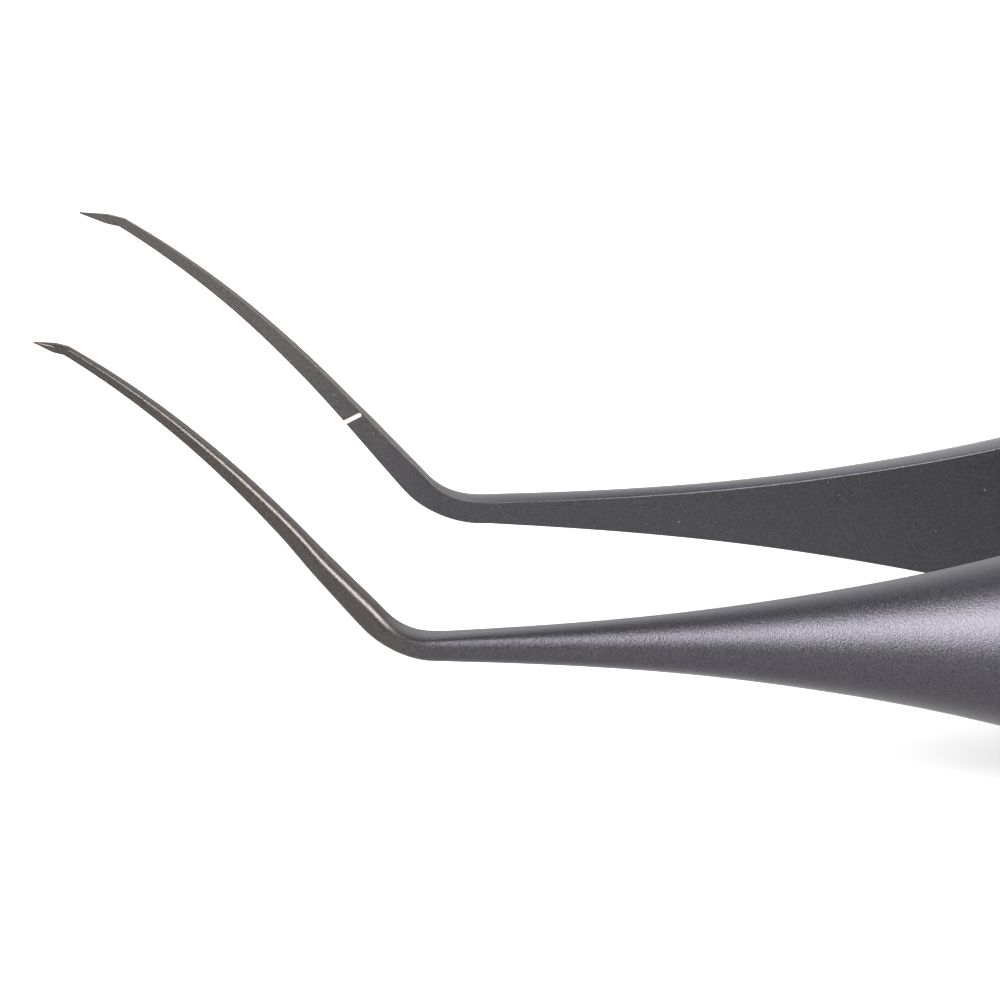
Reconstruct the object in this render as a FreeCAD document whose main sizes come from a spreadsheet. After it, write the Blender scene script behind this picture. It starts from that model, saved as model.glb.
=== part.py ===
"""Round-handled angled micro forceps: two mirrored half-round arms on leaf springs in a round tail.

X runs along the handle from the tips (-X) to the tail (+X), Y is the way the arms open, Z is up.
The far arm is on +Y and the near arm on -Y. Lengths are in mm and angles in degrees.
"""
import math
import os

import FreeCAD
import Part
import Sketcher

VALUES = [
    # overall layout; "run" values are distances behind the bend of the shaft
    ("bend_x", 44.0, "from the middle of the tool forward to the bend"),
    ("axis_height", 4.0, "handle axis above the surface that the grip rests on"),
    ("open_gap", 3.708, "half gap between the inner faces at the bend, tips open"),
    ("open_slope", 1.82, "angle of each arm to the mid-plane, tips open"),
    ("pivot_run", 70.0, "middle of the free length of the leaf springs"),
    # handle half
    ("flat_depth", 0.28, "inner face to the turning axis of the arm's back"),
    ("neck_half_width", 0.285, "half height of the inner face at the neck"),
    ("neck_run", 1.0, "front end of the turned handle"),
    ("grip_radius", 4.0, "largest radius of the handle"),
    ("flare_end_run", 29.0, "end of the flare and start of the grip"),
    ("grip_end_run", 52.0, "rear end of the cylindrical grip"),
    ("arm_end_run", 62.0, "rear end of the arm"),
    ("arm_end_radius", 3.4, "radius at the rear end of the arm"),
    ("end_round", 0.6, "rounding of the rear rim"),
    ("groove_count", 18, "grip rings"),
    ("groove_pitch", 1.05, "spacing of the grip rings"),
    ("groove_radius", 0.14, "section radius of a grip ring"),
    # bent shaft and tip
    ("bend_radius", 1.934, "radius of the centre line at the bend"),
    ("bend_angle", 50.96, "turn of the bend"),
    ("bend_start_run", 0.735, "start of the bend"),
    ("shaft_length", 9.9, "end of the bend to the root of the tip"),
    ("root_length", 2.6, "nearly straight part after the bend"),
    ("root_curve", -0.0065, "curvature of that part, 1/mm"),
    ("middle_length", 3.2, "part after that"),
    ("middle_curve", 0.0359, "its curvature, 1/mm"),
    ("front_curve", 0.0481, "curvature from there to the tip, 1/mm"),
    ("elbow_half_width", 0.284, "half height in the middle of the bend"),
    ("root_half_width", 0.344, "half height at the end of the bend"),
    ("quarter_half_width", 0.264, "half height at the quarter place"),
    ("middle_half_width", 0.18, "half height at the middle place"),
    ("tip_half_width", 0.119, "half height at the root of the tip"),
    ("root_depth", 0.466, "thickness at the end of the bend"),
    ("thick_end_depth", 0.494, "thickness where the step to the slimmer shaft starts"),
    ("thin_start_depth", 0.393, "thickness where that step ends"),
    ("middle_depth", 0.322, "thickness at the middle place"),
    ("tip_depth", 0.175, "thickness at the root of the tip"),
    ("step_start", 2.0, "end of the bend to the step"),
    ("step_end", 2.7, "end of the bend to the end of the step"),
    ("quarter_place", 2.2, "end of the bend to the quarter place"),
    ("middle_place", 6.0, "end of the bend to the middle place"),
    ("facet_lean", 0.07, "lean of the side facets, as a share of the half height"),
    ("facet_bulge", 0.012, "crown of the facets"),
    ("toe_out", -0.0067, "outward slope of the shaft's inner face at the bend (negative is inward)"),
    ("toe_in", 0.0003, "inward curving of the shaft, 1/mm"),
    ("far_tip_length", 1.067, "pointed blade at the end of the far shaft"),
    ("near_tip_length", 0.8, "pointed blade at the end of the near shaft"),
    ("tip_rise", 14.8, "angle of the blade above the handle axis"),
    ("tip_point", 0.018, "half height of the blunt point"),
    ("shoulder_place", 0.38, "root of the blade to its shoulder, as a share of the blade"),
    ("shoulder_size", 0.98, "half height of the shoulder, as a share of the root's"),
    ("shoulder_turn", 0.6, "lean of the shoulder, as a share of the blade's angle"),
    ("point_depth", 0.3, "thickness of the blunt point, as a share of the root's"),
    ("mark_place", 2.35, "end of the bend to the reference mark"),
    ("mark_reach", 0.175, "height of the mark's round end above the centre line"),
    ("mark_tilt", 10.0, "angle of the mark to the section across the shaft"),
    ("mark_width", 0.11, "reference mark across the inner face"),
    ("mark_sink", 0.03, "depth of the mark"),
    # leaf springs
    ("leaf_thickness", 0.5, "thickness of a leaf spring"),
    ("leaf_width", 5.0, "width of a leaf spring"),
    ("leaf_free", 16.0, "free length of a leaf spring"),
    ("leaf_seat", 8.2, "length of leaf held in an arm or in the tail"),
    ("seat_clearance", 0.02, "side clearance of a leaf in its pocket"),
    # rivets and pins
    ("arm_rivet_radius", 0.6, "leaf rivets in the arms"),
    ("arm_rivet_head", 1.0, "radius of their inner heads"),
    ("arm_rivet_head_height", 0.25, "height of their inner heads"),
    ("arm_rivet_inset", 2.1, "rear end of the arm to the rear rivet"),
    ("rivet_pitch", 4.0, "spacing of the rivets"),
    ("rivet_proud", 0.04, "how far a rivet end stands out"),
    ("tail_rivet_radius", 0.75, "through rivets of the tail"),
    ("tail_rivet_inset", 2.5, "front end of the tail to the front rivet"),
    ("guide_run", 24.0, "place of the guide pin"),
    ("guide_radius", 0.6, "guide pin"),
    ("guide_reach", 3.9, "how far the guide pin stands out of the near arm"),
    ("guide_root", 2.2, "how far the guide pin is pressed into the near arm"),
    ("guide_hole_radius", 0.95, "hole in the far arm"),
    ("guide_hole_depth", 3.1, "depth of that hole"),
    # tail
    ("tail_radius", 3.5, "radius of the plug and the cheeks"),
    ("cap_radius", 4.0, "radius of the tail cap"),
    ("cap_run", 86.2, "front end of the tail cap"),
    ("tail_end_run", 96.7, "rear end of the tool"),
    ("edge_chamfer", 0.5, "chamfers of the tail"),
    ("small_chamfer", 0.12, "broken edges of the rivets, the guide pin and the cap"),
    ("spigot_radius", 2.2, "spigot of the plug in the cap"),
    ("spigot_length", 6.0, "length of that spigot"),
]

V = FreeCAD.Vector
doc = FreeCAD.newDocument("forceps")
sheet = doc.addObject("Spreadsheet::Sheet", "Values")
for row, (alias, number, note) in enumerate(VALUES, start=1):
    sheet.set(f"A{row}", alias)
    sheet.set(f"B{row}", str(number))
    sheet.setAlias(f"B{row}", alias)
    sheet.set(f"C{row}", note)
doc.recompute()


def value(alias):
    """One number of the sheet."""
    return float(sheet.get(alias))


# ---------------------------------------------------------------- placements
def arm_placement(side):
    """Where an arm drawn with its inner face on y = 0 and its bend at x = 0 stands."""
    turn = FreeCAD.Rotation(V(0, 0, 1), -side * value("open_slope"))
    return FreeCAD.Placement(V(-value("bend_x"), side * value("open_gap"), value("axis_height")), turn)


def tail_placement():
    """Where a tail piece drawn on the handle axis with the bend at x = 0 stands."""
    return FreeCAD.Placement(V(-value("bend_x"), 0, value("axis_height")), FreeCAD.Rotation())


def add_feature(label, shape, placement):
    """One sub-part made from a plain shape."""
    feature = doc.addObject("Part::Feature", label)
    feature.Label = label
    feature.Shape = shape
    feature.Placement = placement
    return feature


def half_gap(run):
    """Half the gap between the open inner faces at a distance behind the bend."""
    return value("open_gap") - run * math.tan(math.radians(value("open_slope")))


# ---------------------------------------------------------------- handle half
FLARE = (
    # share of the flare's length, share of the grip's radius
    (0.115, 0.135),
    (0.222, 0.1996),
    (0.329, 0.3057),
    (0.435, 0.450),
    (0.57, 0.684),
    (0.76, 0.918),
)
NECK_SLOPE = 0.03


def flare_points(first_radius):
    """Points of the handle's profile from the neck to the grip."""
    start, end = value("neck_run"), value("flare_end_run")
    grip = value("grip_radius")
    points = [V(start, 0, first_radius)]
    for share, size in FLARE:
        points.append(V(start + share * (end - start), 0, size * grip))
    points.append(V(end, 0, grip))
    return points


def grip_edges():
    """Straight grip with round ring grooves, from the flare to the taper."""
    grip = value("grip_radius")
    ring = value("groove_radius")
    count = int(value("groove_count"))
    span = (count - 1) * value("groove_pitch")
    first = (value("flare_end_run") + value("grip_end_run") - span) / 2
    edges = []
    here = V(value("flare_end_run"), 0, grip)
    for index in range(count):
        centre = first + index * value("groove_pitch")
        left, right = V(centre - ring, 0, grip), V(centre + ring, 0, grip)
        edges.append(Part.LineSegment(here, left).toShape())
        edges.append(Part.Arc(left, V(centre, 0, grip - ring), right).toShape())
        here = right
    edges.append(Part.LineSegment(here, V(value("grip_end_run"), 0, grip)).toShape())
    return edges


def turned_handle():
    """The full round handle about its own axis, before the inner face is ground."""
    neck, end = value("neck_run"), value("arm_end_run")
    neck_radius = math.hypot(value("neck_half_width"), value("flat_depth"))
    end_radius, rim = value("arm_end_radius"), value("end_round")
    flare = Part.BSplineCurve()
    flare.interpolate(
        Points=flare_points(neck_radius),
        InitialTangent=V(1, 0, NECK_SLOPE),
        FinalTangent=V(1, 0, 0),
    )
    taper_end = V(end - rim, 0, end_radius)
    corner = rim * (1 - math.sqrt(0.5))
    edges = [flare.toShape()] + grip_edges()
    edges.append(Part.LineSegment(V(value("grip_end_run"), 0, value("grip_radius")), taper_end).toShape())
    rim_middle, rim_end = V(end - corner, 0, end_radius - corner), V(end, 0, end_radius - rim)
    edges.append(Part.Arc(taper_end, rim_middle, rim_end).toShape())
    edges.append(Part.LineSegment(rim_end, V(end, 0, 0)).toShape())
    edges.append(Part.LineSegment(V(end, 0, 0), V(neck, 0, 0)).toShape())
    edges.append(Part.LineSegment(V(neck, 0, 0), V(neck, 0, neck_radius)).toShape())
    face = Part.Face(Part.Wire(Part.__sortEdges__(edges)))
    solid = face.revolve(V(0, 0, 0), V(1, 0, 0), 360)
    solid.translate(V(0, value("flat_depth"), 0))
    return solid


# ---------------------------------------------------------------- bent shaft
BEND_SECTIONS = (1.0, 0.75, 0.5, 0.25, 0.0)  # distances before the end of the bend, as shares of the bend
SHAFT_SECTIONS = (0.09, 0.34, 0.46, 0.61, 0.74, 0.87, 1.0)  # distances after it, as shares of the shaft
RIDGE_ANGLE = math.pi / 4  # where the ridge between two facets starts on the round neck


def bend_length():
    """Length of the centre line through the bend."""
    return value("bend_radius") * math.radians(value("bend_angle"))


def along_path(shaft_run):
    """Point (x, z) and tangent angle of the centre line; shaft_run is 0 at the end of the bend."""
    pieces = [
        (bend_length(), 1 / value("bend_radius")),
        (value("root_length"), -value("root_curve")),
        (value("middle_length"), -value("middle_curve")),
        (value("shaft_length"), -value("front_curve")),
    ]
    x, z, angle = value("bend_start_run"), 0.0, 0.0
    left = shaft_run + bend_length()
    for length, curve in pieces:
        step = min(left, length)
        turned = angle + curve * step
        x -= (math.sin(turned) - math.sin(angle)) / curve
        z += (math.cos(angle) - math.cos(turned)) / curve
        angle = turned
        left -= step
    return x, z, angle


def inner_face_y(shaft_run):
    """How far the shaft's inner face lies outside the plane of the handle's flat."""
    run = max(shaft_run, 0.0)
    return value("toe_out") * run - value("toe_in") * run * run


def between(run, stations):
    """Straight interpolation through (run, size) stations."""
    for (run_a, size_a), (run_b, size_b) in zip(stations, stations[1:]):
        if run <= run_b:
            share = max(0.0, (run - run_a) / (run_b - run_a))
            return size_a + share * (size_b - size_a)
    return stations[-1][1]


def outline(half, depth, facet):
    """Seven section points (height, outward) of an arm: inner corners, outer corners and arc mid-points.

    facet is 0 for the round neck and 1 for the flat-sided shaft.
    """
    flat_depth = value("flat_depth")
    radius = math.hypot(half, flat_depth)
    edge = math.pi / 2 + math.asin(flat_depth / radius)
    middle = (edge + RIDGE_ANGLE) / 2
    lean, bulge = value("facet_lean") * half, value("facet_bulge")
    round_points = [
        (half, 0.0),
        (radius * math.sin(middle), flat_depth + radius * math.cos(middle)),
        (radius * math.sin(RIDGE_ANGLE), flat_depth + radius * math.cos(RIDGE_ANGLE)),
        (0.0, flat_depth + radius),
    ]
    facet_points = [
        (half, 0.0),
        (half - lean / 2 + bulge, depth / 2),
        (half - lean, depth),
        (0.0, depth + bulge),
    ]
    upper = [
        (a[0] + facet * (b[0] - a[0]), a[1] + facet * (b[1] - a[1]))
        for a, b in zip(round_points, facet_points)
    ]
    lower = [(-height, outward) for height, outward in reversed(upper[:3])]
    return upper + lower


def section_wire(centre, angle, y, points):
    """The closed section: one straight inner edge and three arcs."""
    normal = V(math.sin(angle), 0, math.cos(angle))
    placed = [V(centre[0], y + outward, centre[1]) + normal * height for height, outward in points]
    top, top_mid, ridge, back, low_ridge, low_mid, low = placed
    edges = [
        Part.LineSegment(low, top).toShape(),
        Part.Arc(top, top_mid, ridge).toShape(),
        Part.Arc(ridge, back, low_ridge).toShape(),
        Part.Arc(low_ridge, low_mid, low).toShape(),
    ]
    return Part.Wire(edges)


def shaft_section(shaft_run):
    """Section of the bent shaft."""
    halves = [
        (-bend_length(), value("neck_half_width")),
        (-bend_length() / 2, value("elbow_half_width")),
        (0.0, value("root_half_width")),
        (value("quarter_place"), value("quarter_half_width")),
        (value("middle_place"), value("middle_half_width")),
        (value("shaft_length"), value("tip_half_width")),
    ]
    depths = [
        (0.0, value("root_depth")),
        (value("step_start"), value("thick_end_depth")),
        (value("step_end"), value("thin_start_depth")),
        (value("middle_place"), value("middle_depth")),
        (value("shaft_length"), value("tip_depth")),
    ]
    facet = min(1.0, max(0.0, 1 + shaft_run / bend_length()))
    x, z, angle = along_path(shaft_run)
    points = outline(between(shaft_run, halves), between(shaft_run, depths), facet)
    return section_wire((x, z), angle, inner_face_y(shaft_run), points)


def neck_section():
    """Section where the turned handle ends."""
    points = outline(value("neck_half_width"), value("root_depth"), 0.0)
    return section_wire((value("neck_run"), 0.0), 0.0, 0.0, points)


def tip_sections(length):
    """Root, shoulder and blunt point of a pointed blade of the given length."""
    shaft = value("shaft_length")
    x, z, angle = along_path(shaft)
    rise = math.radians(value("tip_rise"))
    y, half, depth = inner_face_y(shaft), value("tip_half_width"), value("tip_depth")
    slope = value("toe_out") - 2 * value("toe_in") * shaft
    stations = (
        (0.0, 1.0, angle),
        (value("shoulder_place"), value("shoulder_size"), rise * value("shoulder_turn")),
        (1.0, value("tip_point") / half, rise),
    )
    wires = []
    for share, size, turn in stations:
        centre = (x - share * length * math.cos(rise), z + share * length * math.sin(rise))
        points = outline(half * size, depth * max(size, value("point_depth")), 1.0)
        wires.append(section_wire(centre, turn, y + slope * share * length, points))
    return wires


def bent_shaft(tip_length):
    """Neck, bend and shaft as one smooth skin, and the blade as flat facets."""
    runs = [-bend_length() * share for share in BEND_SECTIONS]
    after = [value("shaft_length") * share for share in SHAFT_SECTIONS]
    runs += sorted(after + [value("step_start"), value("step_end")])
    skin = Part.makeLoft([neck_section()] + [shaft_section(run) for run in runs], True, False)
    blade = Part.makeLoft(tip_sections(tip_length), True, True)
    return skin.fuse(blade)


def mark_cutter():
    """Shallow reference mark across the inner face, open at the lower edge and round at the top."""
    place, reach = value("mark_place"), value("mark_reach")
    x, z, angle = along_path(place)
    width, depth = value("mark_width"), value("mark_sink")
    below = value("root_half_width") * 2
    slot = Part.makeBox(width, depth * 2, below, V(-width / 2, -depth, reach - below))
    end = Part.makeCylinder(width / 2, depth * 2, V(0, -depth, reach), V(0, 1, 0))
    cutter = slot.fuse(end)
    cutter.rotate(V(0, 0, 0), V(0, 1, 0), math.degrees(angle) + value("mark_tilt"))
    cutter.translate(V(x, inner_face_y(place), z))
    return cutter


# ---------------------------------------------------------------- whole arm
HOLE_LEAD = 1.0  # how far cutters start before the face they cut


def leaf_pocket():
    """Pocket for the leaf spring in the inner face at the rear end of the arm."""
    clear = value("seat_clearance")
    length = value("leaf_seat") + clear
    width = value("leaf_width") + 2 * clear
    start = value("arm_end_run") - length
    deep = value("leaf_thickness") + HOLE_LEAD
    return Part.makeBox(length + HOLE_LEAD, deep, width, V(start, -HOLE_LEAD, -width / 2))


def arm_rivet_runs():
    """Where the two leaf rivets of an arm are."""
    rear = value("arm_end_run") - value("arm_rivet_inset")
    return rear - value("rivet_pitch"), rear


def tail_rivet_runs():
    """Where the two through rivets of the tail are."""
    front = value("pivot_run") + value("leaf_free") / 2 + value("tail_rivet_inset")
    return front, front + value("rivet_pitch")


def cross_hole(run, radius, length):
    """A round cutter square to the inner face, starting a little inside it."""
    return Part.makeCylinder(radius, length, V(run, -HOLE_LEAD, 0), V(0, 1, 0))


def arm_shape(tip_length, hole_radius, hole_depth):
    """An arm on +y with its inner face on y = 0."""
    grip = value("grip_radius")
    waste = Part.makeBox(value("tail_end_run"), 3 * grip, 4 * grip, V(0, -3 * grip, -2 * grip))
    handle = turned_handle().cut(waste)
    arm = handle.fuse(bent_shaft(tip_length))
    guide_hole = cross_hole(value("guide_run"), hole_radius, hole_depth + HOLE_LEAD)
    cutters = [mark_cutter(), leaf_pocket(), guide_hole]
    for run in arm_rivet_runs():
        cutters.append(cross_hole(run, value("arm_rivet_radius"), 3 * grip))
    return arm.cut(cutters)


def mirrored(shape, side):
    """The shape itself for the far side, its mirror image for the near side."""
    return shape if side > 0 else shape.mirror(V(0, 0, 0), V(0, 1, 0))


def add_arm(label, side, tip_length, hole_radius, hole_depth):
    """One arm in its open place."""
    shape = mirrored(arm_shape(value(tip_length), value(hole_radius), value(hole_depth)), side)
    return add_feature(label, shape, arm_placement(side))


# ---------------------------------------------------------------- leaf springs
def leaf_shape():
    """A leaf on +y: straight in the tail, a gentle arc over its free length, straight in the arm."""
    slope = math.radians(value("open_slope"))
    radius = value("leaf_free") / slope
    seat = value("leaf_seat")
    tail_start = value("pivot_run") + value("leaf_free") / 2
    inner = half_gap(value("pivot_run"))
    thickness, width = value("leaf_thickness"), value("leaf_width")
    centre_y = inner + thickness / 2 + radius

    def side_points(offset):
        """Tail end, arc start, arc middle, arc end and arm end of one face of the leaf."""
        reach = radius + offset

        def on_arc(angle):
            return V(tail_start - reach * math.sin(angle), centre_y - reach * math.cos(angle), 0)

        end = on_arc(slope)
        tail_end = V(tail_start + seat, centre_y - reach, 0)
        arm_end = end + V(-math.cos(slope), math.sin(slope), 0) * seat
        return tail_end, on_arc(0), on_arc(slope / 2), end, arm_end

    edges = []
    ends = []
    for offset in (thickness / 2, -thickness / 2):
        tail, start, middle, end, arm = side_points(offset)
        edges.append(Part.LineSegment(tail, start).toShape())
        edges.append(Part.Arc(start, middle, end).toShape())
        edges.append(Part.LineSegment(end, arm).toShape())
        ends.append((tail, arm))
    edges.append(Part.LineSegment(ends[0][0], ends[1][0]).toShape())
    edges.append(Part.LineSegment(ends[0][1], ends[1][1]).toShape())
    face = Part.Face(Part.Wire(Part.__sortEdges__(edges)))
    face.translate(V(0, 0, -width / 2))
    return face.extrude(V(0, 0, width))


def leaf_holes():
    """Rivet holes of a leaf, drawn on the far side."""
    arm_in_tail = tail_placement().inverse().multiply(arm_placement(1))
    through = value("leaf_thickness") + 2 * HOLE_LEAD
    cutters = []
    for run in arm_rivet_runs():
        hole = cross_hole(run, value("arm_rivet_radius"), through)
        hole.Placement = arm_in_tail.multiply(hole.Placement)
        cutters.append(hole)
    for run in tail_rivet_runs():
        cutters.append(cross_hole(run, value("tail_rivet_radius"), value("tail_radius")))
    return cutters


def add_leaf(label, side):
    """One leaf spring."""
    return add_feature(label, mirrored(leaf_shape().cut(leaf_holes()), side), tail_placement())


# ---------------------------------------------------------------- turned and cut bodies
TAIL_START = "Values.pivot_run + Values.leaf_free / 2"
TAIL_RIVETS = (
    f"{TAIL_START} + Values.tail_rivet_inset",
    f"{TAIL_START} + Values.tail_rivet_inset + Values.rivet_pitch",
)
CORE_HALF = "Values.open_gap - Values.pivot_run * tan(Values.open_slope * 1deg)"
SMALLEST_CUT = 1e-3  # a pocket that removes less than this volume has missed its body


def origin_plane(body, role):
    """One of the body's own origin planes."""
    return next(item for item in body.Origin.OriginFeatures if item.Role == role)


def add_sketch(body, role, name):
    """An empty sketch on one of the body's own planes."""
    sketch = body.newObject("Sketcher::SketchObject", name)
    sketch.AttachmentSupport = (origin_plane(body, role), "")
    sketch.MapMode = "FlatFace"
    return sketch


def pin_point(sketch, geometry, point, x, y):
    """Fix a sketch point at two sheet expressions."""
    for kind, expression in (("DistanceX", x), ("DistanceY", y)):
        number = float(sheet.evalExpression(expression))
        index = sketch.addConstraint(Sketcher.Constraint(kind, geometry, point, number))
        sketch.setExpression(f"Constraints[{index}]", expression)


def draw_outline(sketch, corners):
    """Closed outline whose corners are pairs of sheet expressions."""
    numbers = [V(*(float(sheet.evalExpression(part)) for part in corner), 0) for corner in corners]
    first = sketch.GeometryCount
    for start, end in zip(numbers, numbers[1:] + numbers[:1]):
        sketch.addGeometry(Part.LineSegment(start, end), False)
    last = sketch.GeometryCount - 1
    for index, (x, y) in enumerate(corners):
        line = first + index
        before = last if index == 0 else line - 1
        sketch.addConstraint(Sketcher.Constraint("Coincident", before, 2, line, 1))
        pin_point(sketch, line, 1, x, y)


def draw_circles(sketch, centres, radius):
    """Circles of one radius at pairs of sheet expressions."""
    for x, y in centres:
        centre = V(float(sheet.evalExpression(x)), float(sheet.evalExpression(y)), 0)
        size = float(sheet.evalExpression(radius))
        circle = sketch.addGeometry(Part.Circle(centre, V(0, 0, 1), size), False)
        pin_point(sketch, circle, 3, x, y)
        index = sketch.addConstraint(Sketcher.Constraint("Radius", circle, size))
        sketch.setExpression(f"Constraints[{index}]", radius)


def add_turned(label, corners, placement):
    """A body turned about its X axis; corners are (along, radius) expressions."""
    body = doc.addObject("PartDesign::Body", label)
    body.Label = label
    sketch = add_sketch(body, "XZ_Plane", f"{label}_profile")
    draw_outline(sketch, corners)
    turned = body.newObject("PartDesign::Revolution", f"{label}_turned")
    turned.Profile = sketch
    turned.ReferenceAxis = (sketch, ["H_Axis"])
    turned.Angle = 360
    body.Placement = placement
    return body


def add_pocket(body, sketch, length):
    """Cut a sketch through the body, half of the length to each side."""
    before = body.Tip
    pocket = body.newObject("PartDesign::Pocket", f"{sketch.Name}_cut")
    pocket.Profile = sketch
    pocket.Midplane = True
    pocket.setExpression("Length", length)
    doc.recompute()
    assert pocket.Shape.Volume < before.Shape.Volume - SMALLEST_CUT, f"{sketch.Name} cuts nothing"


def across(placement, run, side):
    """A placement whose X axis leaves the inner face outward at a distance behind the bend."""
    turn = FreeCAD.Rotation(V(1, 0, 0), V(0, side, 0))
    return placement.multiply(FreeCAD.Placement(V(run, 0, 0), turn))


# ---------------------------------------------------------------- rivets and pins
def taper_radius(run):
    """Expression for the handle's radius on its rear taper."""
    fall = "(Values.grip_radius - Values.arm_end_radius)"
    length = "(Values.arm_end_run - Values.end_round - Values.grip_end_run)"
    return f"(Values.grip_radius - {fall} * ({run} - Values.grip_end_run) / {length})"


def add_arm_rivet(label, side, run_expression):
    """Leaf rivet: flat head on the leaf, shank through the arm, end dressed almost flush."""
    end = f"Values.flat_depth + {taper_radius(run_expression)} + Values.rivet_proud"
    radius, head, chamfer = "Values.arm_rivet_radius", "Values.arm_rivet_head", "Values.small_chamfer"
    corners = [
        ("-Values.arm_rivet_head_height", "0"),
        ("-Values.arm_rivet_head_height", f"{head} - {chamfer}"),
        (f"-Values.arm_rivet_head_height + {chamfer}", head),
        ("0", head),
        ("0", radius),
        (f"{end} - {chamfer}", radius),
        (end, f"{radius} - {chamfer}"),
        (end, "0"),
    ]
    run = float(sheet.evalExpression(run_expression))
    return add_turned(label, corners, across(arm_placement(side), run, side))


def add_tail_rivet(label, run_expression):
    """Through rivet of the tail, dressed almost flush at both ends."""
    end, radius = "(Values.tail_radius + Values.rivet_proud)", "Values.tail_rivet_radius"
    chamfer = "Values.small_chamfer"
    corners = [
        (f"-{end}", "0"),
        (f"-{end}", f"{radius} - {chamfer}"),
        (f"-{end} + {chamfer}", radius),
        (f"{end} - {chamfer}", radius),
        (end, f"{radius} - {chamfer}"),
        (end, "0"),
    ]
    run = float(sheet.evalExpression(run_expression))
    return add_turned(label, corners, across(tail_placement(), run, 1))


def add_guide_pin(label):
    """Pin pressed into the near arm that keeps the arms in line as they close."""
    reach, radius, lead = "Values.guide_reach", "Values.guide_radius", "2 * Values.small_chamfer"
    corners = [
        ("-Values.guide_root", "0"),
        ("-Values.guide_root", radius),
        (f"{reach} - {lead}", radius),
        (reach, f"{radius} - {lead}"),
        (reach, "0"),
    ]
    turn = FreeCAD.Rotation(V(1, 0, 0), V(0, 1, 0))
    stand = FreeCAD.Placement(V(value("guide_run"), 0, 0), turn)
    return add_turned(label, corners, arm_placement(-1).multiply(stand))


# ---------------------------------------------------------------- tail
def tail_profile(tail_end):
    """Turned outline of the tail's front part, from its front end to the given corners."""
    chamfer, radius = "Values.edge_chamfer", "Values.tail_radius"
    return [
        (TAIL_START, "0"),
        (TAIL_START, f"{radius} - {chamfer}"),
        (f"{TAIL_START} + {chamfer}", radius),
        ("Values.cap_run", radius),
        *tail_end,
    ]


def cut_rivet_holes(body):
    """Holes for the two through rivets."""
    sketch = add_sketch(body, "XZ_Plane", f"{body.Name}_holes")
    draw_circles(sketch, [(run, "0") for run in TAIL_RIVETS], "Values.tail_rivet_radius")
    add_pocket(body, sketch, "Values.tail_radius * 3")


def cut_block(body, name, x_range, y_range, height):
    """Cut a rectangular block, given by x and y expressions, from a tail body."""
    sketch = add_sketch(body, "XY_Plane", f"{body.Name}_{name}")
    (x_low, x_high), (y_low, y_high) = x_range, y_range
    draw_outline(sketch, [(x_low, y_low), (x_high, y_low), (x_high, y_high), (x_low, y_high)])
    add_pocket(body, sketch, height)


def add_tail_plug(label):
    """Plug: a flat tongue between the leaves and a round spigot in the cap."""
    spigot_end = "Values.cap_run + Values.spigot_length"
    radius = "Values.spigot_radius"
    corners = tail_profile([("Values.cap_run", radius), (spigot_end, radius), (spigot_end, "0")])
    body = add_turned(label, corners, tail_placement())
    doc.recompute()
    outside = "Values.tail_radius * 2"
    x_range = (f"{TAIL_START} - {HOLE_LEAD}", "Values.cap_run")
    cut_block(body, "far_side", x_range, (CORE_HALF, outside), "Values.tail_radius * 4")
    cut_block(body, "near_side", x_range, (f"-{outside}", f"-({CORE_HALF})"), "Values.tail_radius * 4")
    cut_rivet_holes(body)
    return body


def add_cheek(label, side):
    """Half-round cheek with a channel for its leaf spring."""
    body = add_turned(label, tail_profile([("Values.cap_run", "0")]), tail_placement())
    doc.recompute()
    core, outside = f"{side} * ({CORE_HALF})", f"{-side} * Values.tail_radius * 2"
    leaf_back = f"{side} * ({CORE_HALF} + Values.leaf_thickness)"
    x_range = (f"{TAIL_START} - {HOLE_LEAD}", f"Values.cap_run + {HOLE_LEAD}")
    cut_block(body, "split", x_range, (outside, core), "Values.tail_radius * 4")
    cut_block(body, "channel", x_range, (core, leaf_back), "Values.leaf_width + 2 * Values.seat_clearance")
    cut_rivet_holes(body)
    return body


def add_tail_cap(label):
    """Round cap over the spigot, with a flat rear end."""
    end, chamfer, front = "Values.tail_end_run", "Values.edge_chamfer", "Values.small_chamfer"
    radius, bore = "Values.cap_radius", "Values.spigot_radius"
    bottom = "Values.cap_run + Values.spigot_length"
    corners = [
        ("Values.cap_run", bore),
        ("Values.cap_run", f"{radius} - {front}"),
        (f"Values.cap_run + {front}", radius),
        (f"{end} - {chamfer}", radius),
        (end, f"{radius} - {chamfer}"),
        (end, "0"),
        (bottom, "0"),
        (bottom, bore),
    ]
    return add_turned(label, corners, tail_placement())


# ---------------------------------------------------------------- assembly
SIDES = {"near": -1, "far": 1}
REAR_RIVET = "Values.arm_end_run - Values.arm_rivet_inset"
LEAF_RIVETS = {"front": f"{REAR_RIVET} - Values.rivet_pitch", "rear": REAR_RIVET}

parts = [
    add_arm("near_arm", -1, "near_tip_length", "guide_radius", "guide_root"),
    add_arm("far_arm", 1, "far_tip_length", "guide_hole_radius", "guide_hole_depth"),
    add_guide_pin("guide_pin"),
    add_tail_plug("tail_plug"),
    add_tail_cap("tail_cap"),
]
for name, side in SIDES.items():
    parts.append(add_leaf(f"{name}_leaf", side))
    parts.append(add_cheek(f"{name}_cheek", side))
    for place, run in LEAF_RIVETS.items():
        parts.append(add_arm_rivet(f"{name}_leaf_rivet_{place}", side, run))
for place, run in zip(("front", "rear"), TAIL_RIVETS):
    parts.append(add_tail_rivet(f"tail_rivet_{place}", run))

doc.recompute()
for item in doc.Objects:
    assert not {"Invalid", "Error"} & set(item.State), f"{item.Name}: {item.State}"
os.makedirs("parts", exist_ok=True)
for part in parts:
    shape = part.Shape
    assert not shape.isNull() and shape.isValid() and len(shape.Solids) == 1, part.Label
    shape.exportStep(f"parts/{part.Label}.step")
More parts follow.
